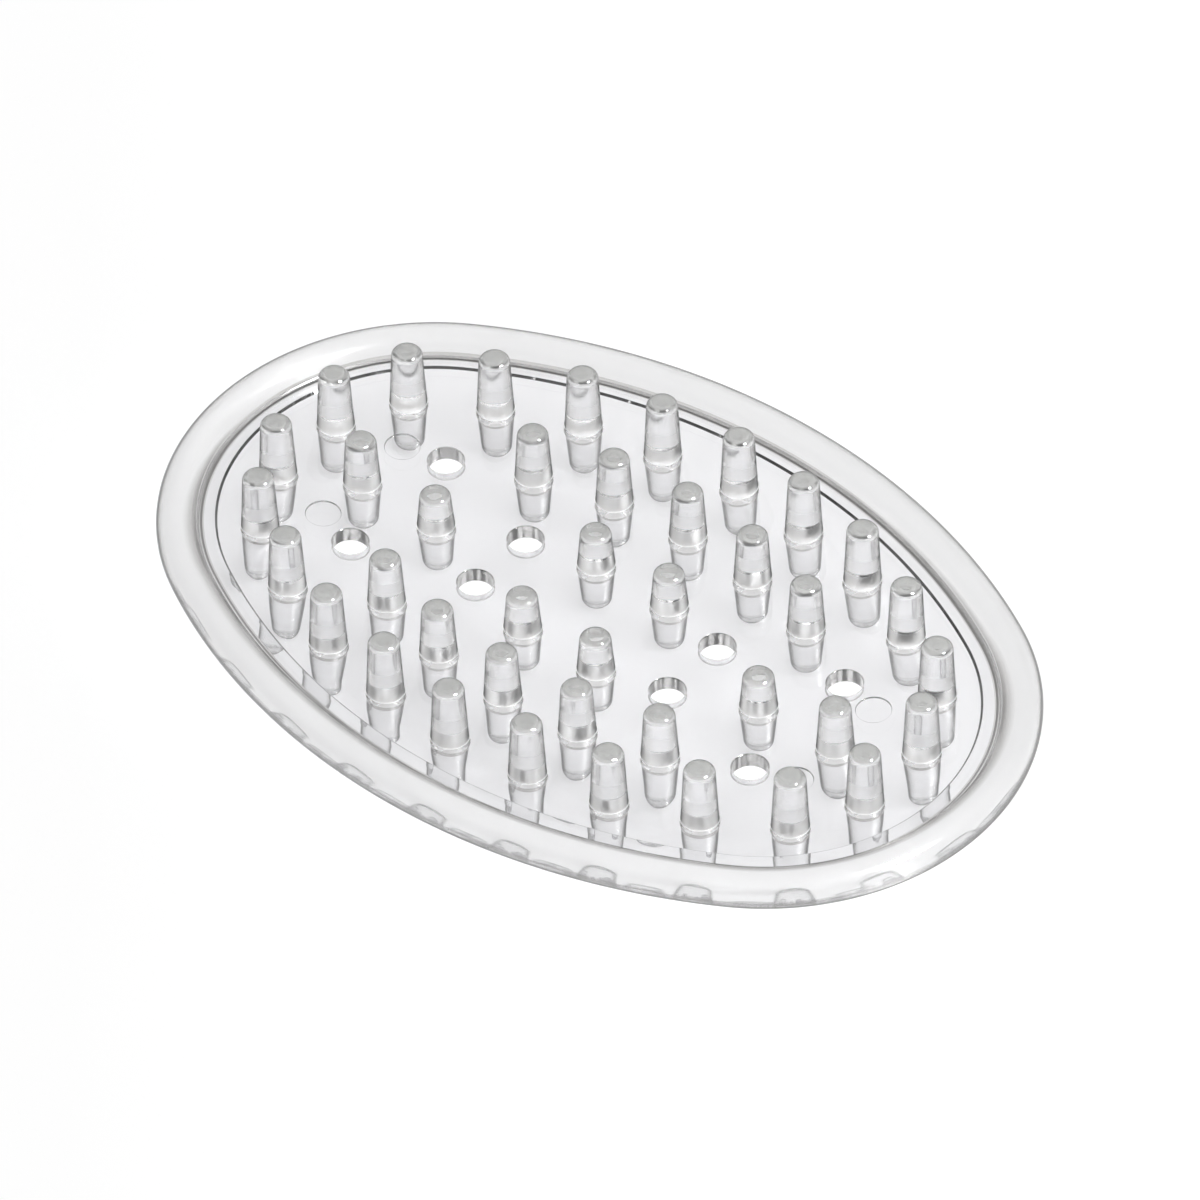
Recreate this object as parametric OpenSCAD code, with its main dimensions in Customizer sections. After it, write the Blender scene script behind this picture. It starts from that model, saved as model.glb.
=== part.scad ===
// Soap saver: an oval tray of clear rigid plastic, held off the counter on
// round feet, with round pegs on top that carry the soap. Millimetres.
// Z = 0 is the plane of the feet, X runs along the tray, Y across it.

/* [Deck] */
// Length of the deck panel inside the rim
deck_l = 116.4; // [100:0.2:130]
// Width of the deck panel inside the rim
deck_w = 73.4; // [66:0.2:80]
// Thickness of the deck at its edge
deck_t = 1.5; // [1.3:0.1:2.2]
// Height of the deck's top edge above the counter
deck_z = 9.8; // [8.5:0.1:11]
// How far the middle of the deck is dished below its edge
dish = 1.4; // [0.6:0.1:1.6]
// How far the middle of the underside bulges below its edge
belly = 2.0; // [1.6:0.1:2.2]

/* [Rim] */
// Height of the small sloped step from the deck up to the rim
step_h = 0.3; // [0.1:0.05:0.5]
// Width of that step
step_w = 0.3; // [0.2:0.05:0.5]
// How far the web falls from the step to the foot of the bead
web_fall = 0.55; // [0.2:0.05:0.8]
// Radius of the hollow where the web meets the bead
hollow = 0.8; // [0.4:0.1:1.2]
// Diameter of the round rim bead
bead_d = 5.6; // [4.8:0.1:6.4]
// From the deck's edge out to the middle of the bead
bead_out = 5.6; // [5.0:0.1:6.4]
// Height of the middle of the bead above the counter
bead_z = 9.6; // [9:0.1:10.4]

/* [Pegs] */
// Height of the tips of the outer ring of pegs
tip_outer = 19.05; // [16:0.05:22]
// Height of the tips of the middle ring of pegs
tip_middle = 17.05; // [15:0.05:20]
// Height of the tips of the inner pegs
tip_inner = 14.65; // [13:0.05:18]
// Diameter of a peg at the deck
peg_base = 5.2; // [4.6:0.1:5.6]
// Diameter of an upper peg at its tip
peg_tip = 4.4; // [3.8:0.1:4.8]
// Diameter of a foot at its tip
foot_tip = 4.3; // [3.8:0.1:4.5]
// Radius of the rounding round each upper tip
tip_round = 1.1; // [0.4:0.1:1.2]
// Radius of the rounding round each foot
foot_round = 1.3; // [0.4:0.1:1.5]
// Distance from one outer peg to the next, along the ring
pitch = 12.4; // [12.0:0.05:12.6]
// Distance from one middle peg to the next, along the ring
pitch_middle = 12.15; // [11.8:0.05:12.4]
// How much further in every other outer peg stands
stagger = 0.4; // [0:0.1:0.8]

/* [Drain] */
// Diameter of the eight drain holes
drain_d = 5.0; // [4.0:0.1:6.0]
// Diameter of the four shallow round moulding marks
mark_d = 5.0; // [4:0.1:6]
// Depth of the moulding marks
mark_depth = 0.2; // [0.1:0.05:0.4]

/* [Hidden] */
$fn = 96;
eps = 0.01;

// The oval is four arcs that meet at 60 degrees: two end arcs of radius
// r_end about (+-c_end, 0) and two side arcs of radius r_side about
// (0, +-c_side). Every ring on the tray is an offset of this oval.
half_l = deck_l / 2;
half_w = deck_w / 2;
join = 60;
r_end = (half_w - (2 - sqrt(3)) * half_l) / (sqrt(3) - 1);
c_end = half_l - r_end;
c_side = c_end * tan(join);
r_side = half_w + c_side;

// The rings of pegs, as distances inside the deck's edge
ring_1 = 5.8;
ring_2 = 16.9;
ring_3 = 28.5;
floor_z = deck_z - deck_t;

// Length of a side arc's half, and a quarter of the ring, at inset d
function side_len(d) = (r_side - d) * (90 - join) * PI / 180;
function quarter_len(d) = side_len(d) + (r_end - d) * join * PI / 180;

// The point at distance s along the ring of inset d, from the middle of
// the long side towards the +X end
function ring_pt(d, s) =
    s <= side_len(d)
    ? let (a = 90 - s / (r_side - d) * 180 / PI)
      [(r_side - d) * cos(a), -c_side + (r_side - d) * sin(a)]
    : let (a = join - (s - side_len(d)) / (r_end - d) * 180 / PI)
      [c_end + (r_end - d) * cos(a), (r_end - d) * sin(a)];

// The four mirror images of a point, or two where it lies on an axis
function mirrored(p) = [for (sx = p[0] > eps ? [1, -1] : [1],
                             sy = p[1] > eps ? [1, -1] : [1])
                        [sx * p[0], sy * p[1]]];
function all_of(list) = [for (p = list) each mirrored(p)];

outer_at = all_of(concat(
    [for (i = [0:4]) ring_pt(ring_1 + stagger * (i % 2), i * pitch)],
    [ring_pt(ring_1 + stagger, quarter_len(ring_1 + stagger) - pitch / 2)]));
middle_at = all_of(concat(
    [for (i = [0:2]) ring_pt(ring_2, i * pitch_middle)],
    [[half_l - ring_2, 0]]));
inner_at = all_of([ring_pt(ring_3, pitch / 2 + 0.2), [c_end - 1.2, 0]]);
drain_at = all_of([ring_pt(ring_2 + 0.4, 3 * pitch_middle),
                   ring_pt(ring_3 + 0.4, 3 * pitch / 2 - 1.6)]);
mark_at = all_of([[c_end + 11.8, 8.4]]);

// The plan of the tray's oval, inset by d
module oval(d) {
    for (s = [-1, 1])
        translate([s * c_end, 0]) circle(r_end - d);
    intersection() {
        translate([0, -c_side]) circle(r_side - d);
        translate([0, c_side]) circle(r_side - d);
        square([2 * (c_end + (r_end - d) * cos(join)), 2 * r_side], center = true);
    }
}

// The dish is a shallow oval bowl over almost the whole deck, turned as a
// curve that is flat in the middle, then drawn in across the tray. The
// underside bulges in the same oval, flatter in the middle and steeper
// towards the edge, so the deck thins a little towards the rim.
dish_l = half_l - 2.5;
dish_w = half_w - 2.0;
bands = 10;
bowl = [for (i = [0:bands]) let (t = i / bands) [dish_l * t, -dish * (1 - pow(t, 2))]];
hull_line = [for (i = [0:bands]) let (t = i / bands) [dish_l * t, -belly * (1 - pow(t, 4))]];

// Height of the deck's top at a point inside the bowl
function deck_top(p) =
    deck_z - dish * (1 - pow(p[0] / dish_l, 2) - pow(p[1] / dish_w, 2));

// The solid between the plane at height z and a turned curve below it
module cap(z, curve) {
    translate([0, 0, z]) scale([1, dish_w / dish_l, 1])
        rotate_extrude() polygon(concat(curve, [[0, 0]]));
}

module deck() {
    color([0.86, 0.87, 0.88, 0.45])
    difference() {
        union() {
            translate([0, 0, floor_z]) linear_extrude(deck_t) oval(0);
            cap(floor_z, hull_line);
        }
        cap(deck_z, bowl);
        for (p = drain_at)
            translate([p[0], p[1], 0]) cylinder(h = 2 * deck_z, d = drain_d);
        for (p = mark_at)
            translate([p[0], p[1], deck_top(p) - mark_depth])
                cylinder(h = 2, d = mark_d);
    }
}

// The rim's section, x outward from the deck's edge: a step, a web that
// falls away from it, a hollow that is tangent to web and bead, the bead
web_w = 1.9;
tilt = atan2(web_fall, web_w);
lip = [step_w, deck_z + step_h];
bead = [bead_out, bead_z];
reach = bead_d / 2 + hollow;
// The hollow's middle lies this far along the web from the lip
from_bead = lip + hollow * [sin(tilt), cos(tilt)] - bead;
along = from_bead * [cos(tilt), -sin(tilt)];
run = -along - sqrt(along * along - from_bead * from_bead + reach * reach);
hollow_at = bead + from_bead + run * [cos(tilt), -sin(tilt)];
toward = bead - hollow_at;
hollow_end = atan2(toward[1], toward[0]);
steps = 7;
hollow_line = [for (i = [0:steps])
    let (a = -90 - tilt + 0.93 * (hollow_end + 90 + tilt) * i / steps)
    hollow_at + hollow * [cos(a), sin(a)]];

module rim_section() {
    union() {
        translate(bead) circle(bead_d / 2);
        polygon(concat(
            [[0, floor_z], [bead_out, floor_z], [bead_out, bead_z + 0.1]],
            [for (i = [0:steps]) hollow_line[steps - i]],
            [lip, [0, deck_z]]));
    }
}

// One stretch of the rim round a circle of radius r
module rim_arc(r, a0, a1) {
    rotate([0, 0, a0]) rotate_extrude(angle = a1 - a0)
        translate([r, 0]) rim_section();
}

module rim() {
    color([0.80, 0.81, 0.82, 0.5])
    union() {
        translate([c_end, 0, 0]) rim_arc(r_end, -join, join);
        translate([-c_end, 0, 0]) rim_arc(r_end, 180 - join, 180 + join);
        translate([0, -c_side, 0]) rim_arc(r_side, join, 180 - join);
        translate([0, c_side, 0]) rim_arc(r_side, 180 + join, 360 - join);
    }
}

// A tapered peg from z0 up to z1, with its tip rounded to radius r
module peg(z0, z1, d0, d1, r) {
    h = z1 - z0;
    translate([0, 0, z0]) {
        cylinder(h = h - r, d1 = d0, d2 = d1);
        translate([0, 0, h - r]) rotate_extrude()
            intersection() {
                union() {
                    square([d1 / 2 - r, r]);
                    translate([d1 / 2 - r, 0]) circle(r);
                }
                square([d1, r]);
            }
    }
}

// Pegs that stand on the dished top of the deck
module upper_pegs(places, z1) {
    color([0.78, 0.79, 0.80, 0.6])
    intersection() {
        for (p = places) translate([p[0], p[1], 0])
            peg(deck_z - dish - 0.5, z1, peg_base, peg_tip, tip_round);
        union() {
            translate([-half_l, -half_w, deck_z]) cube([deck_l, deck_w, 20]);
            cap(deck_z, bowl);
        }
    }
}

// Feet that hang from the bulging underside of the deck
module feet(places) {
    color([0.82, 0.83, 0.84, 0.6])
    difference() {
        for (p = places) translate([p[0], p[1], floor_z])
            mirror([0, 0, 1]) peg(0, floor_z, peg_base, foot_tip, foot_round);
        cap(floor_z, hull_line);
    }
}

module pegs_outer() upper_pegs(outer_at, tip_outer);
module pegs_middle() upper_pegs(middle_at, tip_middle);
module pegs_inner() upper_pegs(inner_at, tip_inner);
module feet_outer() feet(outer_at);
module feet_middle() feet(middle_at);
module feet_inner() feet(inner_at);

deck();
rim();
pegs_outer();
pegs_middle();
pegs_inner();
feet_outer();
feet_middle();
feet_inner();
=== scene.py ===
import math
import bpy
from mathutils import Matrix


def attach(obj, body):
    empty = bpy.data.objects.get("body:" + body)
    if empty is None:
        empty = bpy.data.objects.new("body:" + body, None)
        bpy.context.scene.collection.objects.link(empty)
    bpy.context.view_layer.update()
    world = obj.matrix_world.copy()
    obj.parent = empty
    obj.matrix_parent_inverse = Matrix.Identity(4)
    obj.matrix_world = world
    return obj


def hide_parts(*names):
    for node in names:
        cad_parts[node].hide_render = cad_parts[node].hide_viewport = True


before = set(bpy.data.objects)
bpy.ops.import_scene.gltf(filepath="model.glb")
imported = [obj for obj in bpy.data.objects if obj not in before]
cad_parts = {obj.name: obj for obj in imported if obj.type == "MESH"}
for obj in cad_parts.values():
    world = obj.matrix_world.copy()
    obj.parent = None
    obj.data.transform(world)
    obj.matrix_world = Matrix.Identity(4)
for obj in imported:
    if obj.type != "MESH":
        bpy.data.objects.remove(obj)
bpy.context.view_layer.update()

import bpy
from mathutils import Matrix, Vector
from mathutils.geometry import delaunay_2d_cdt

MM = 0.001

# ---------------------------------------------------------------- sizes, mm
# The same numbers as the solids: an oval deck, a rim bead round it, three
# rings of pegs above and the same three rings of feet below.
DECK_L, DECK_W, DECK_Z, DISH = 116.4, 73.4, 9.8, 1.4
EDGE_T, BELLY = 1.5, 2.0  # the deck at its edge, and its bulge below
BEAD_R, BEAD_OUT, BEAD_Z = 2.8, 5.6, 9.6
TIP = {"outer": 19.05, "middle": 17.05, "inner": 14.65}
PEG_BASE, PEG_TIP, FOOT_TIP = 2.6, 2.19, 2.13
TIP_ROUND, FOOT_ROUND = 1.1, 1.3
FILLET = 0.12
LOW = 2.5  # the hazy part of a peg above the deck, rougher and with a painted glow
NECK = 0.42  # the height of the band of painted shade round a foot below the deck
STEP, STEP_W, WEB_W, WEB_FALL, HOLLOW = 0.3, 0.3, 1.9, 0.55, 0.8
LIP_R = 0.05
CREASE = 2, 5  # the rows of the hollow painted near black as a fine dark line, painted shade
STEP_IN = LIP_R * math.tan(math.atan2(STEP, STEP_W) / 2)
PITCH, PITCH_MIDDLE, STAGGER = 12.4, 12.15, 0.4
DRAIN_R, MARK_R, MARK_DEPTH = 2.5, 2.5, 0.2
EDGE = 0.15
SEG = 56  # points round a peg or hole
STATIONS = 480  # points round the oval

half_l, half_w = DECK_L / 2, DECK_W / 2
R_END = (half_w - (2 - math.sqrt(3)) * half_l) / (math.sqrt(3) - 1)
C_END = half_l - R_END
C_SIDE = C_END * math.sqrt(3)
R_SIDE = half_w + C_SIDE
JOIN = math.pi / 3


def side_len(d):
    return (R_SIDE - d) * (math.pi / 2 - JOIN)


def quarter_len(d):
    return side_len(d) + (R_END - d) * JOIN


def ring_pt(d, s):
    """The point s along the ring that lies d inside the deck's edge."""
    if s <= side_len(d):
        a = math.pi / 2 - s / (R_SIDE - d)
        return ((R_SIDE - d) * math.cos(a), -C_SIDE + (R_SIDE - d) * math.sin(a))
    a = JOIN - (s - side_len(d)) / (R_END - d)
    return (C_END + (R_END - d) * math.cos(a), (R_END - d) * math.sin(a))


def all_of(points):
    out = []
    for x, y in points:
        for sx in (1, -1) if x > 0.01 else (1,):
            for sy in (1, -1) if y > 0.01 else (1,):
                out.append((sx * x, sy * y))
    return out


D1 = 5.8 + STAGGER
AT = {
    "outer": all_of(
        [ring_pt(5.8 + STAGGER * (i % 2), i * PITCH) for i in range(5)]
        + [ring_pt(D1, quarter_len(D1) - PITCH / 2)]
    ),
    "middle": all_of(
        [ring_pt(16.9, i * PITCH_MIDDLE) for i in range(3)] + [(half_l - 16.9, 0.0)]
    ),
    "inner": all_of([ring_pt(28.5, PITCH / 2 + 0.2), (C_END - 1.2, 0.0)]),
}
DRAINS = all_of([ring_pt(17.3, 3 * PITCH_MIDDLE), ring_pt(28.9, 1.5 * PITCH - 1.6)])
MARKS = all_of([(C_END + 11.8, 8.4)])


def bowl(x, y):
    """How far the deck's top is dished at a point, and that depth's slope."""
    a, b, soft = half_l - 2.5, half_w - 2.0, 0.08
    t = 1 - (x / a) ** 2 - (y / b) ** 2
    q = math.sqrt(t * t + soft * soft)
    s, ds = (t + q) / 2, (1 + t / q) / 2
    return DISH * s, -DISH * ds * 2 * x / a**2, -DISH * ds * 2 * y / b**2


def top_z(x, y):
    return DECK_Z - bowl(x, y)[0]


def hull(x, y):
    """How far the deck bulges below its edge, and that bulge's slope."""
    d, dx, dy = bowl(x, y)
    s = d / DISH
    k = BELLY * (2 - 2 * s) / DISH
    return BELLY * s * (2 - s), k * dx, k * dy


def low_z(x, y):
    return DECK_Z - EDGE_T - hull(x, y)[0]


def deck_normal(x, y, up=1):
    _, dx, dy = bowl(x, y) if up > 0 else hull(x, y)
    return Vector((dx, dy, 1.0)).normalized() * up


# ------------------------------------------------------------ mesh building
class Shell:
    """One piece's vertices, their smooth normals and its faces, in mm."""

    def __init__(self):
        self.v, self.n, self.f, self.m, self.key = [], [], [], [], {}

    def put(self, p, n):
        k = tuple(round(c, 5) for c in p)
        if k not in self.key:
            self.key[k] = len(self.v)
            self.v.append(Vector(p))
            self.n.append(Vector(n))
        return self.key[k]

    def face(self, *ids, mat=0):
        ids = [i for j, i in enumerate(ids) if i != ids[j - 1]]
        if len(ids) > 2:
            self.f.append(ids)
            self.m.append(mat)

    def strip(self, rows, flip=False, mats=None):
        for k, (a, b) in enumerate(zip(rows, rows[1:])):
            for i in range(len(a)):
                j = (i + 1) % len(a)
                q = (a[i], a[j], b[j], b[i])
                self.face(*(reversed(q) if flip else q), mat=mats[k] if mats else 0)

    def build(self, name, *materials):
        me = bpy.data.meshes.new(name)
        me.from_pydata([v * MM for v in self.v], [], self.f)
        for material in materials:
            me.materials.append(material)
        for p, m in zip(me.polygons, self.m):
            p.use_smooth = True
            p.material_index = m
        me.normals_split_custom_set_from_vertices(
            [n.normalized() for n in self.n]
        )
        ob = bpy.data.objects.new(name, me)
        bpy.context.scene.collection.objects.link(ob)
        return ob


def circle(cx, cy, r):
    return [
        (
            cx + r * math.cos(2 * math.pi * i / SEG),
            cy + r * math.sin(2 * math.pi * i / SEG),
        )
        for i in range(SEG)
    ]


def station(i):
    """A point of the deck's edge and its outward direction."""
    q = 2 * (R_SIDE * (math.pi / 2 - JOIN) + R_END * JOIN)  # half the way round
    s = (i % STATIONS) / STATIONS * 2 * q
    quarter = q / 2
    k, s = divmod(s, quarter)
    k = int(k) % 4
    if k % 2 == 0:
        u = s
    else:
        u = quarter - s
    # u runs from the middle of the long side to the end, as ring_pt does
    side = R_SIDE * (math.pi / 2 - JOIN)
    if u <= side:
        a = math.pi / 2 - u / R_SIDE
        p, n = (R_SIDE * math.cos(a), -C_SIDE + R_SIDE * math.sin(a)), (
            math.cos(a),
            math.sin(a),
        )
    else:
        a = JOIN - (u - side) / R_END
        p, n = (C_END + R_END * math.cos(a), R_END * math.sin(a)), (
            math.cos(a),
            math.sin(a),
        )
    sx, sy = ((1, 1), (1, -1), (-1, -1), (-1, 1))[k]
    return (sx * p[0], sy * p[1]), (sx * n[0], sy * n[1])


EDGE_LOOP = [station(i) for i in range(STATIONS)]


def inside_deck(x, y, d=0.0):
    x, y = abs(x), abs(y)
    if math.atan2(y + C_SIDE, x) >= JOIN:
        return math.hypot(x, y + C_SIDE) <= R_SIDE - d
    return math.hypot(x - C_END, y) <= R_END - d


def sheet(shell, rings, up, height):
    """A face of the deck, with a loop left open for each ring (x, y, r)."""
    inset = STEP_IN if up > 0 else 0.0
    border = [(p[0] - inset * n[0], p[1] - inset * n[1]) for p, n in EDGE_LOOP]
    pts, edges = [], []

    def loop(ps):
        at = len(pts)
        pts.extend(Vector(p) for p in ps)
        edges.extend((at + i, at + (i + 1) % len(ps)) for i in range(len(ps)))

    loop(border)
    for x, y, r in rings:
        loop(circle(x, y, r))
        for k, grow in ((0.5, 0.45), (0.0, 1.2), (0.5, 2.2)):
            m = SEG if grow < 1 else SEG // 2
            for i in range(m):
                a = 2 * math.pi * (i + k) / m
                q = (x + (r + grow) * math.cos(a), y + (r + grow) * math.sin(a))
                if inside_deck(*q, 0.5) and all(
                    math.hypot(q[0] - u, q[1] - v) > w + 0.4 for u, v, w in rings
                ):
                    pts.append(Vector(q))
    step = 1.9
    for i in range(-32, 33):
        for j in range(-24, 25):
            x, y = (i + 0.5 * (j % 2)) * step, j * step * 0.87
            if inside_deck(x, y, 0.9) and all(
                math.hypot(x - u, y - v) > w + 2.6 for u, v, w in rings
            ):
                pts.append(Vector((x, y)))
    out = delaunay_2d_cdt(pts, edges, [], 0, 1e-7)
    verts, faces = out[0], out[2]
    ids = {}
    for tri in faces:
        c = sum((verts[i] for i in tri), Vector((0, 0))) / len(tri)
        if not inside_deck(c.x, c.y, inset) or any(
            math.hypot(c.x - u, c.y - v) < w for u, v, w in rings
        ):
            continue
        for i in tri:
            if i not in ids:
                x, y = verts[i]
                ids[i] = shell.put((x, y, height(x, y)), deck_normal(x, y, up))
        tri = [ids[i] for i in tri]
        a, b, c = (shell.v[i] for i in tri)
        if (b - a).cross(c - a).z * up < 0:
            tri.reverse()
        shell.face(*tri)


def peg(shell, x, y, tip, r_base, r_tip, foot=False):
    """A peg or a foot, with a fillet at the deck and a rounded tip."""
    f, e = FILLET, FOOT_ROUND if foot else TIP_ROUND
    sign = -1 if foot else 1

    def ground(px, py):
        return low_z(px, py) if foot else top_z(px, py)

    h = abs(tip - ground(x, y))
    c1, c2 = (r_base + f, f), (r_tip - e, h - e)
    dx, dy = c2[0] - c1[0], c2[1] - c1[1]
    alpha = math.atan2(dy, dx) - math.acos(-(e + f) / math.hypot(dx, dy))
    path = []
    for k in range(8):
        t = (math.pi / 2 - alpha) * k / 7
        path.append(
            (c1[0] - f * math.sin(t), f - f * math.cos(t), math.sin(t), math.cos(t))
        )
    a0 = path[-1]
    r1, h1 = c2[0] + e * math.cos(alpha), c2[1] + e * math.sin(alpha)
    t0 = (LOW - a0[1]) / (h1 - a0[1])
    for t in (t0 * NECK / LOW, t0, t0 + (1 - t0) / 3, t0 + (1 - t0) * 2 / 3):
        path.append(
            (
                a0[0] + (r1 - a0[0]) * t,
                a0[1] + (h1 - a0[1]) * t,
                math.cos(alpha),
                math.sin(alpha),
            )
        )
    for k in range(11):
        t = alpha + (math.pi / 2 - alpha) * k / 10
        path.append(
            (
                c2[0] + e * math.cos(t),
                c2[1] + e * math.sin(t),
                math.cos(t),
                math.sin(t),
            )
        )
    for k in (0.72, 0.4, 0.0):
        path.append((c2[0] * k, h, 0.0, 1.0))

    profile = []
    reach = r_base + f
    for r, hh, nr, nz in path:

        def height(px, py, a, hh=hh):
            g = ground(x + reach * math.cos(a), y + reach * math.sin(a))
            return g + (tip - g) * (hh / h)

        profile.append((r, height, nr, nz * sign))
    # the lowest row lies on the deck and takes the deck's own normal
    rows = []
    for k, (r, height, nr, nz) in enumerate(profile):
        row = []
        for i, (px, py) in enumerate(circle(x, y, r) if r > 0 else [(x, y)] * SEG):
            a = 2 * math.pi * i / SEG
            n = (
                deck_normal(px, py, sign)
                if k == 0
                else (nr * math.cos(a), nr * math.sin(a), nz)
            )
            row.append(shell.put((px, py, height(px, py, a)), n))
        rows.append(row)
    # material 2 is a peg's low band or a foot's painted-shade neck; material 1 is the painted-shade cap
    # or sole
    low, cap = 8 if foot else 9, 9
    mats = [2] * low + [0] * (len(rows) - 1 - low - cap) + [1] * cap
    shell.strip(rows, flip=foot, mats=mats)


def drain(shell, x, y):
    """The wall of a drain hole, with a small round at each mouth."""
    rows = []
    path = []
    for k in range(5):
        t = math.pi / 2 * k / 4
        path.append(
            (
                DRAIN_R + EDGE - EDGE * math.sin(t),
                lambda px, py, t=t: top_z(px, py) - EDGE * (1 - math.cos(t)),
                -math.sin(t),
                math.cos(t),
            )
        )
    for k in range(1, 4):
        path.append(
            (
                DRAIN_R,
                lambda px, py, k=k: (top_z(px, py) - EDGE) * (1 - k / 4)
                + (low_z(px, py) + EDGE) * k / 4,
                -1.0,
                0.0,
            )
        )
    for k in range(5):
        t = math.pi / 2 * k / 4
        path.append(
            (
                DRAIN_R + EDGE - EDGE * math.cos(t),
                lambda px, py, t=t: low_z(px, py) + EDGE * (1 - math.sin(t)),
                -math.cos(t),
                -math.sin(t),
            )
        )
    for r, height, nr, nz in path:
        row = []
        for i, (px, py) in enumerate(circle(x, y, r)):
            a = 2 * math.pi * i / SEG
            row.append(
                shell.put(
                    (px, py, height(px, py)), (nr * math.cos(a), nr * math.sin(a), nz)
                )
            )
        rows.append(row)
    # the drain's mouths and wall take darker grey copies of the clear plastic, painted shade
    shell.strip(rows, mats=[3] * 4 + [1] * 4 + [3] * 4)


def mark(shell, x, y):
    """A shallow round moulding mark in the deck's top."""
    q = 0.05
    path = []
    for k in range(4):
        t = math.pi / 2 * k / 3
        path.append((MARK_R - q * math.sin(t), q * (1 - math.cos(t)), -math.sin(t), math.cos(t)))
    for k in range(4):
        t = math.pi / 2 * k / 3
        path.append(
            (
                MARK_R - 2 * q + q * math.cos(t),
                MARK_DEPTH - q + q * math.sin(t),
                -math.cos(t),
                math.sin(t),
            )
        )
    rows = []
    for r, down, nr, nz in path:
        row = []
        for i, (px, py) in enumerate(circle(x, y, r)):
            a = 2 * math.pi * i / SEG
            row.append(
                shell.put(
                    (px, py, top_z(px, py) - down),
                    (nr * math.cos(a), nr * math.sin(a), nz),
                )
            )
        rows.append(row)
    for k in (0.75, 0.5, 0.25, 0.0):
        r = (MARK_R - 2 * q) * k
        rows.append(
            [
                shell.put((px, py, top_z(px, py) - MARK_DEPTH), deck_normal(px, py))
                for px, py in (circle(x, y, r) if r > 0 else [(x, y)] * SEG)
            ]
        )
    # the mark's wall takes a dark grey copy of the clear plastic, a painted shade ring
    shell.strip(rows, mats=[2] * 7 + [0] * 4)


def rim_profile():
    """(outward offset, height, outward normal, upward normal, material) of
    the rim's section, from the deck's top edge round to its lower edge."""
    path = []

    def arc(cx, cz, r, a0, a1, n, mat, sign=1):
        for k in range(n + 1):
            t = math.radians(a0 + (a1 - a0) * k / n)
            c, s = math.cos(t), math.sin(t)
            path.append((cx + r * c, cz + r * s, sign * c, sign * s, mat))

    under = DECK_Z - EDGE_T
    slope = math.atan2(STEP, STEP_W)
    tilt = math.atan2(WEB_FALL, WEB_W)
    # hollow at the foot of the step, then the round of its lip
    arc(-STEP_IN, DECK_Z + LIP_R, LIP_R, 270, 270 + math.degrees(slope), 4, 3, -1)
    # the step's face takes material 1, painted near black as the dark line at the deck's edge
    path[-1] = (*path[-1][:4], 1)
    q = LIP_R * math.tan((slope + tilt) / 2)
    cx = STEP_W - q * math.cos(slope) + LIP_R * math.sin(slope)
    cz = DECK_Z + STEP - q * math.sin(slope) - LIP_R * math.cos(slope)
    arc(cx, cz, LIP_R, 90 + math.degrees(slope), 90 - math.degrees(tilt), 4, 1)
    path[-1] = (*path[-1][:4], 3)
    # the web falls to a hollow that is tangent to web and bead
    wide = BEAD_R + HOLLOW
    fx = STEP_W + HOLLOW * math.sin(tilt) - BEAD_OUT
    fz = DECK_Z + STEP + HOLLOW * math.cos(tilt) - BEAD_Z
    along = fx * math.cos(tilt) - fz * math.sin(tilt)
    run = -along - math.sqrt(along * along - fx * fx - fz * fz + wide * wide)
    fx += run * math.cos(tilt)
    fz -= run * math.sin(tilt)
    meet = math.degrees(math.atan2(-fz, -fx))
    hx, hz = BEAD_OUT + fx, BEAD_Z + fz
    x0, z0, nx, nz, _ = path[-1]
    x1, z1 = hx - HOLLOW * math.sin(tilt), hz - HOLLOW * math.cos(tilt)
    for t in (0.25, 0.5, 0.75):
        path.append((x0 + (x1 - x0) * t, z0 + (z1 - z0) * t, nx, nz, 3))
    at = len(path)
    arc(hx, hz, HOLLOW, 270 - math.degrees(tilt), 360 + meet, 12, 2, -1)
    # these rows of the hollow take the crease material, a painted dark line
    for k in range(at + CREASE[0], at + CREASE[1]):
        path[k] = (*path[k][:4], 5)
    arc(BEAD_OUT, BEAD_Z, BEAD_R, 180 + meet - 2, 92, 20, 4)
    arc(BEAD_OUT, BEAD_Z, BEAD_R, 88, 0, 22, 0)
    # round the bottom of the bead to the underside
    fc = 0.6
    cx = BEAD_OUT - math.sqrt((BEAD_R + fc) ** 2 - (BEAD_Z - under + fc) ** 2)
    a = math.degrees(math.atan2(under - fc - BEAD_Z, cx - BEAD_OUT))
    arc(BEAD_OUT, BEAD_Z, BEAD_R, -4, a, 30, 0)
    arc(cx, under - fc, fc, a + 180, 90, 6, 3, -1)
    for t in (0.75, 0.5, 0.25, 0.0):
        path.append((cx * t, under, 0.0, -1.0, 3))
    return path


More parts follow.
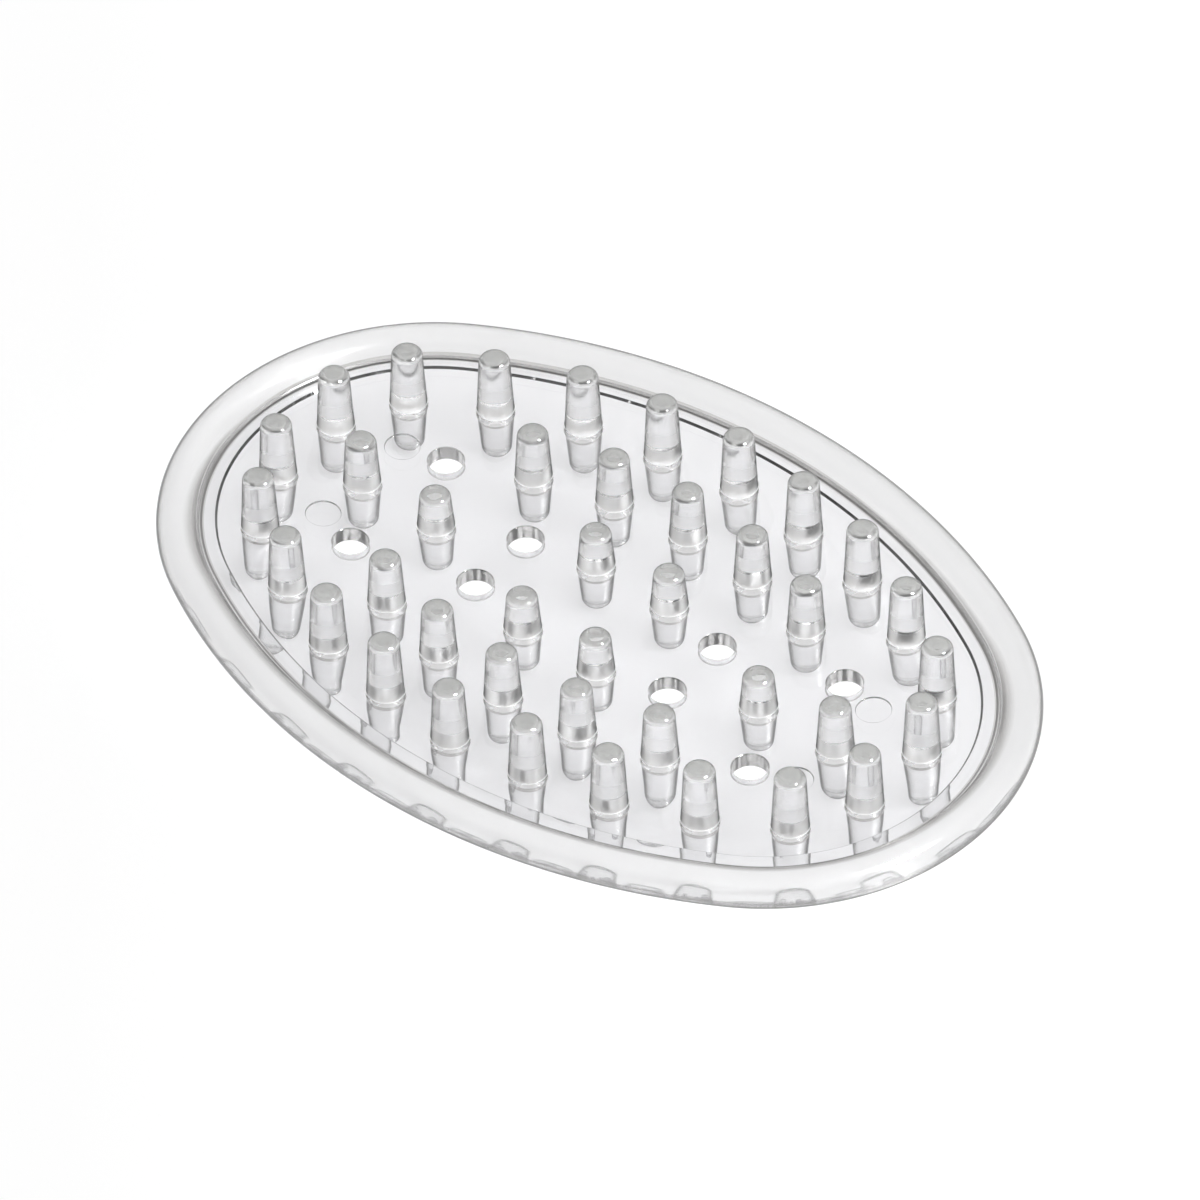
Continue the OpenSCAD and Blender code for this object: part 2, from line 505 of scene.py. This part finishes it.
def make_material(name, tint, rough, painted_glow, edge=None, ripple=160.0, depth=0.12):
    """Clear moulded plastic, tinted, with a painted glow from emission. Where edge
    is set, the colour is painted darker where a wall turns away from the eye:
    painted shade for the dark outlines of the thick round parts."""
    mat = bpy.data.materials.new(name)
    mat.use_nodes = True
    nt = mat.node_tree
    b = nt.nodes["Principled BSDF"]
    b.inputs["Base Color"].default_value = (*tint, 1)
    b.inputs["IOR"].default_value = 1.57
    b.inputs["Transmission Weight"].default_value = 1.0
    # painted glow: emission makes the plastic give off a little light, though it is no lamp
    b.inputs["Emission Color"].default_value = (1, 1, 1, 1)
    b.inputs["Emission Strength"].default_value = painted_glow
    coord = nt.nodes.new("ShaderNodeTexCoord")
    # painted shade: a Layer Weight ramp darkens the colour where a wall turns away from the eye
    if edge:
        layer = nt.nodes.new("ShaderNodeLayerWeight")
        layer.inputs["Blend"].default_value = 0.5
        ramp = nt.nodes.new("ShaderNodeValToRGB")
        cr = ramp.color_ramp
        for at, c in edge:
            e = cr.elements.new(at)
            e.color = (*c, 1)
        cr.elements.remove(cr.elements[0])
        cr.elements.remove(cr.elements[-1])
        nt.links.new(layer.outputs["Facing"], ramp.inputs["Fac"])
        nt.links.new(ramp.outputs["Color"], b.inputs["Base Color"])
    # slow flow ripples, and a fine haze that varies over the moulding
    flow = nt.nodes.new("ShaderNodeTexNoise")
    flow.inputs["Scale"].default_value = ripple
    flow.inputs["Detail"].default_value = 1.5
    nt.links.new(coord.outputs["Object"], flow.inputs["Vector"])
    bump = nt.nodes.new("ShaderNodeBump")
    bump.inputs["Strength"].default_value = depth
    bump.inputs["Distance"].default_value = 0.0002
    nt.links.new(flow.outputs["Fac"], bump.inputs["Height"])
    nt.links.new(bump.outputs["Normal"], b.inputs["Normal"])
    haze = nt.nodes.new("ShaderNodeTexNoise")
    haze.inputs["Scale"].default_value = 420.0
    haze.inputs["Detail"].default_value = 3.0
    nt.links.new(coord.outputs["Object"], haze.inputs["Vector"])
    span = nt.nodes.new("ShaderNodeMapRange")
    span.inputs["From Min"].default_value = 0.35
    span.inputs["From Max"].default_value = 0.75
    span.inputs["To Min"].default_value = rough[0]
    span.inputs["To Max"].default_value = rough[1]
    nt.links.new(haze.outputs["Fac"], span.inputs["Value"])
    nt.links.new(span.outputs["Result"], b.inputs["Roughness"])
    return mat


# painted glow: the emission strength that lights the clear plastic from within
PAINTED_GLOW = 0.008
# painted shade: a peg's colour by facing, going grey to black as its wall turns from the eye
PEG_EDGE_SHADE = [
    (0.001, (0.94, 0.94, 0.945)),
    (0.29, (0.93, 0.93, 0.935)),
    (0.38, (0.76, 0.76, 0.755)),
    (0.52, (0.62, 0.615, 0.605)),
    (0.64, (0.34, 0.335, 0.33)),
    (0.74, (0.0, 0.0, 0.0)),
]
# painted shade: the peg caps, a mid grey that darkens to black on their turned-away rounding
CAP_SHADE = [
    (0.001, (0.42, 0.425, 0.41)),
    (0.36, (0.38, 0.385, 0.37)),
    (0.50, (0.26, 0.265, 0.255)),
    (0.62, (0.08, 0.08, 0.075)),
    (0.70, (0.0, 0.0, 0.0)),
]
# painted shade: a foot's colour by facing, going grey to black as its wall turns from the eye
FOOT_EDGE_SHADE = [
    (0.001, (0.88, 0.88, 0.885)),
    (0.38, (0.84, 0.84, 0.845)),
    (0.50, (0.60, 0.60, 0.60)),
    (0.60, (0.22, 0.215, 0.21)),
    (0.68, (0.0, 0.0, 0.0)),
]
# painted shade: the bead's outer half, going grey to black as it turns from the eye
RIM_EDGE_SHADE = [
    (0.001, (0.78, 0.78, 0.785)),
    (0.45, (0.74, 0.74, 0.745)),
    (0.54, (0.58, 0.58, 0.58)),
    (0.62, (0.28, 0.275, 0.27)),
    (0.70, (0.0, 0.0, 0.0)),
]
# painted shade: the bead's inner half, darkening steeply as it turns from the eye
INNER_SHADE = [
    (0.001, (0.78, 0.78, 0.785)),
    (0.34, (0.76, 0.76, 0.765)),
    (0.44, (0.44, 0.435, 0.43)),
    (0.56, (0.22, 0.214, 0.208)),
    (0.80, (0.07, 0.067, 0.064)),
]
# painted shade: the step at the deck's edge, near black, drawn as a dark edge line
STEP_SHADE_LINE = [
    (0.001, (0.01, 0.01, 0.01)),
    (0.58, (0.01, 0.01, 0.01)),
    (0.80, (0.12, 0.12, 0.12)),
    (0.98, (0.35, 0.35, 0.35)),
]
# painted shade: the hollow between web and bead, a dark grey that lightens as it turns from the eye
FLANK_SHADE = [
    (0.001, (0.36, 0.352, 0.343)),
    (0.30, (0.36, 0.352, 0.343)),
    (0.62, (0.52, 0.515, 0.51)),
    (0.92, (0.66, 0.655, 0.65)),
]
# painted shade: the crease, near black facing the eye, drawn as a fine dark line
CREASE_SHADE_LINE = [
    (0.001, (0.03, 0.028, 0.026)),
    (0.30, (0.04, 0.038, 0.036)),
    (0.55, (0.26, 0.255, 0.25)),
    (0.90, (0.66, 0.655, 0.65)),
]
# painted shade: the deck and rim underside are tinted grey to darken what shows through them, with a
# painted glow
flat_plastic = make_material("clear_plastic_flat", (0.755, 0.755, 0.768), (0.012, 0.045), PAINTED_GLOW)
# painted shade: darker grey copies of the clear plastic for the drain walls, their mouths and the mark's
# wall, with a little painted glow
hole_shade_plastic = make_material("clear_plastic_hole", (0.42, 0.417, 0.413), (0.22, 0.28), 0.02)
mouth_shade_plastic = make_material("clear_plastic_mouth", (0.30, 0.295, 0.29), (0.05, 0.1), 0.01)
mark_shade_plastic = make_material("clear_plastic_mark", (0.22, 0.22, 0.22), (0.02, 0.05), 0.0)
# pegs: painted edge shade by facing and a painted glow
peg_plastic = make_material("clear_plastic_peg", (0.8, 0.8, 0.8), (0.12, 0.18), PAINTED_GLOW, PEG_EDGE_SHADE)
# the low band: rougher, with the painted edge shade and a stronger painted glow
low_plastic = make_material("clear_plastic_low", (0.8, 0.8, 0.8), (0.34, 0.42), 0.03, PEG_EDGE_SHADE)
# painted shade: a dark copy of the clear plastic for the line round a foot's neck
neck_shade_plastic = make_material("clear_plastic_neck", (0.26, 0.248, 0.232), (0.08, 0.14), 0.01)
# painted shade: the caps are a darker grey copy of the clear plastic, with a painted glow
cap_shade_plastic = make_material("clear_plastic_cap", (0.4, 0.4, 0.4), (0.06, 0.12), 0.02, CAP_SHADE, 700.0, 0.5)
# feet: painted edge shade by facing and a painted glow
foot_plastic = make_material("clear_plastic_foot", (0.8, 0.8, 0.8), (0.05, 0.09), PAINTED_GLOW, FOOT_EDGE_SHADE)
# painted shade: a grey copy of the clear plastic for the foot tips, with a painted glow
sole_shade_plastic = make_material("clear_plastic_sole", (0.6, 0.6, 0.595), (0.2, 0.26), 0.02)
# the bead's outer half: painted edge shade by facing and a painted glow
rim_plastic = make_material("clear_plastic_rim", (0.8, 0.8, 0.8), (0.09, 0.14), PAINTED_GLOW, RIM_EDGE_SHADE)
# the bead's inner half: painted shade by facing and a painted glow
inner_shade_plastic = make_material("clear_plastic_inner", (0.8, 0.8, 0.8), (0.17, 0.22), PAINTED_GLOW, INNER_SHADE)
# the step: a near-black copy of the clear plastic, painted shade
step_shade_plastic = make_material("clear_plastic_step", (0.1, 0.1, 0.1), (0.02, 0.05), 0.0, STEP_SHADE_LINE)
# the hollow: painted shade in a grey copy of the clear plastic, with a stronger painted glow
flank_shade_plastic = make_material("clear_plastic_flank", (0.36, 0.352, 0.343), (0.2, 0.26), 0.05, FLANK_SHADE)
# the crease: painted shade in a dark copy of the clear plastic
crease_shade_plastic = make_material("clear_plastic_crease", (0.2, 0.196, 0.19), (0.05, 0.1), 0.01, CREASE_SHADE_LINE)

# ------------------------------------------------------------------- pieces
pieces = {}

deck = Shell()
reach = PEG_BASE + FILLET
pegs_at = [(x, y, reach) for k in ("outer", "middle", "inner") for x, y in AT[k]]
drains_at = [(x, y, DRAIN_R + EDGE) for x, y in DRAINS]
marks_at = [(x, y, MARK_R) for x, y in MARKS]
sheet(deck, pegs_at + drains_at + marks_at, 1, top_z)
sheet(deck, pegs_at + drains_at, -1, low_z)
for x, y in DRAINS:
    drain(deck, x, y)
for x, y in MARKS:
    mark(deck, x, y)
pieces["deck"] = deck.build(
    "deck_clear", flat_plastic, hole_shade_plastic, mark_shade_plastic, mouth_shade_plastic
)

rim = Shell()
rows = []
for d, z, nd, nz, _ in rim_profile():
    row = []
    for p, n in EDGE_LOOP:
        x, y = p[0] + d * n[0], p[1] + d * n[1]
        fall = (hull if nz < 0 and d < 2.1 else bowl)(x, y)[0]
        row.append(rim.put((x, y, z - fall), (nd * n[0], nd * n[1], nz)))
    rows.append(row)
rim.strip(rows, mats=[p[4] for p in rim_profile()])
pieces["rim"] = rim.build(
    "rim_clear",
    rim_plastic,
    step_shade_plastic,
    flank_shade_plastic,
    flat_plastic,
    inner_shade_plastic,
    crease_shade_plastic,
)

for ring in ("outer", "middle", "inner"):
    up, down = Shell(), Shell()
    for x, y in AT[ring]:
        peg(up, x, y, TIP[ring], PEG_BASE, PEG_TIP)
        peg(down, x, y, 0.0, PEG_BASE, FOOT_TIP, foot=True)
    pieces["pegs_" + ring] = up.build(
        "pegs_%s_clear" % ring, peg_plastic, cap_shade_plastic, low_plastic
    )
    pieces["feet_" + ring] = down.build(
        "feet_%s_clear" % ring, foot_plastic, sole_shade_plastic, neck_shade_plastic
    )

for node, ob in pieces.items():
    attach(ob, "root")
    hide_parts(node)

# -------------------------------------------------------------------- floor
floor_mesh = bpy.data.meshes.new("floor")
s = 3.0
floor_mesh.from_pydata(
    [(-s, -s, 0), (s, -s, 0), (s, s, 0), (-s, s, 0)], [], [(0, 1, 2, 3)]
)
floor = bpy.data.objects.new("floor", floor_mesh)
bpy.context.scene.collection.objects.link(floor)
floor_mat = bpy.data.materials.new("floor_white")
floor_mat.use_nodes = True
fb = floor_mat.node_tree.nodes["Principled BSDF"]
fb.inputs["Base Color"].default_value = (0.45, 0.45, 0.45, 1)
fb.inputs["Emission Color"].default_value = (1, 1, 1, 1)
fb.inputs["Emission Strength"].default_value = 0.62
fb.inputs["Roughness"].default_value = 0.9
fb.inputs["Specular IOR Level"].default_value = 0.0
# painted light: the floor's glow is graded across it from 0.57 to 0.72, brighter towards the camera's
# right
where = floor_mat.node_tree.nodes.new("ShaderNodeTexCoord")
along = floor_mat.node_tree.nodes.new("ShaderNodeVectorMath")
along.operation = "DOT_PRODUCT"
along.inputs[1].default_value = (0.766, 0.643, 0.0)
span = floor_mat.node_tree.nodes.new("ShaderNodeMapRange")
span.inputs["From Min"].default_value = -0.07
span.inputs["From Max"].default_value = 0.07
span.inputs["To Min"].default_value = 0.57
span.inputs["To Max"].default_value = 0.72
floor_mat.node_tree.links.new(where.outputs["Object"], along.inputs[0])
floor_mat.node_tree.links.new(along.outputs["Value"], span.inputs["Value"])
floor_mat.node_tree.links.new(span.outputs["Result"], fb.inputs["Emission Strength"])
floor_mesh.materials.append(floor_mat)
floor.location.z = -0.00002

# -------------------------------------------------------------------- light
world = bpy.data.worlds.new("studio")
bpy.context.scene.world = world
world.use_nodes = True
nt = world.node_tree
bg = nt.nodes["Background"]
tc = nt.nodes.new("ShaderNodeTexCoord")
sep = nt.nodes.new("ShaderNodeSeparateXYZ")
nt.links.new(tc.outputs["Generated"], sep.inputs["Vector"])
ramp = nt.nodes.new("ShaderNodeValToRGB")
nt.links.new(sep.outputs["Z"], ramp.inputs["Fac"])
cr = ramp.color_ramp
for at, v in ((0.001, 1.0), (0.08, 0.95), (0.2, 0.62), (0.55, 0.62), (0.8, 1.2), (0.999, 1.2)):
    e = cr.elements.new(at)
    e.color = (v / 2, v / 2, v / 2, 1)
cr.elements.remove(cr.elements[0])
cr.elements.remove(cr.elements[-1])
nt.links.new(ramp.outputs["Color"], bg.inputs["Color"])
bg.inputs["Strength"].default_value = 2.0

# a small key light off to the right, which only shows in the gloss
key_data = bpy.data.lights.new("key", "AREA")
key_data.shape = "DISK"
key_data.size = 0.30
key_data.energy = 60.0
key = bpy.data.objects.new("key", key_data)
bpy.context.scene.collection.objects.link(key)
key.visible_diffuse = False
key.visible_transmission = False
aim = Vector((0, 0, 0.01))
turn = math.radians(40.08 + 60)
el_key = math.radians(47)
key.location = aim + 1.2 * Vector(
    (math.sin(turn) * math.cos(el_key), -math.cos(turn) * math.cos(el_key), math.sin(el_key))
)
key.rotation_euler = (aim - key.location).to_track_quat("-Z", "Y").to_euler()

# ------------------------------------------------------------------- camera
AZ, EL, ROLL, DIST, OX, OY, F = 40.08, 44.35, -1.2, 1646.3, -0.55, 0.96, 12185.0
az, el, roll = (math.radians(a) for a in (AZ, EL, ROLL))
back = Vector(
    (math.sin(az) * math.cos(el), -math.cos(az) * math.cos(el), math.sin(el))
)
fwd = -back
right = fwd.cross(Vector((0, 0, 1))).normalized()
upv = right.cross(fwd)
R0 = Matrix((right, -upv, fwd))
Z = Matrix(
    (
        (math.cos(roll), -math.sin(roll), 0),
        (math.sin(roll), math.cos(roll), 0),
        (0, 0, 1),
    )
)
R = Z @ R0
where = -(R.transposed() @ Vector((OX, OY, DIST))) + Vector((0, 0, 9.9))
cam_data = bpy.data.cameras.new("camera")
cam = bpy.data.objects.new("camera", cam_data)
bpy.context.scene.collection.objects.link(cam)
cols = Matrix((R[0], -R[1], -R[2])).transposed()
cam.matrix_world = Matrix.Translation(where * MM) @ cols.to_4x4()
cam_data.sensor_fit = "HORIZONTAL"
cam_data.sensor_width = 36.0
cam_data.lens = F / 1200 * 36.0
cam_data.clip_start = 0.05
cam_data.clip_end = 20.0
bpy.context.scene.camera = cam

sc = bpy.context.scene
sc.view_settings.view_transform = "Standard"
sc.cycles.max_bounces = 18
sc.cycles.transmission_bounces = 18
sc.cycles.glossy_bounces = 8
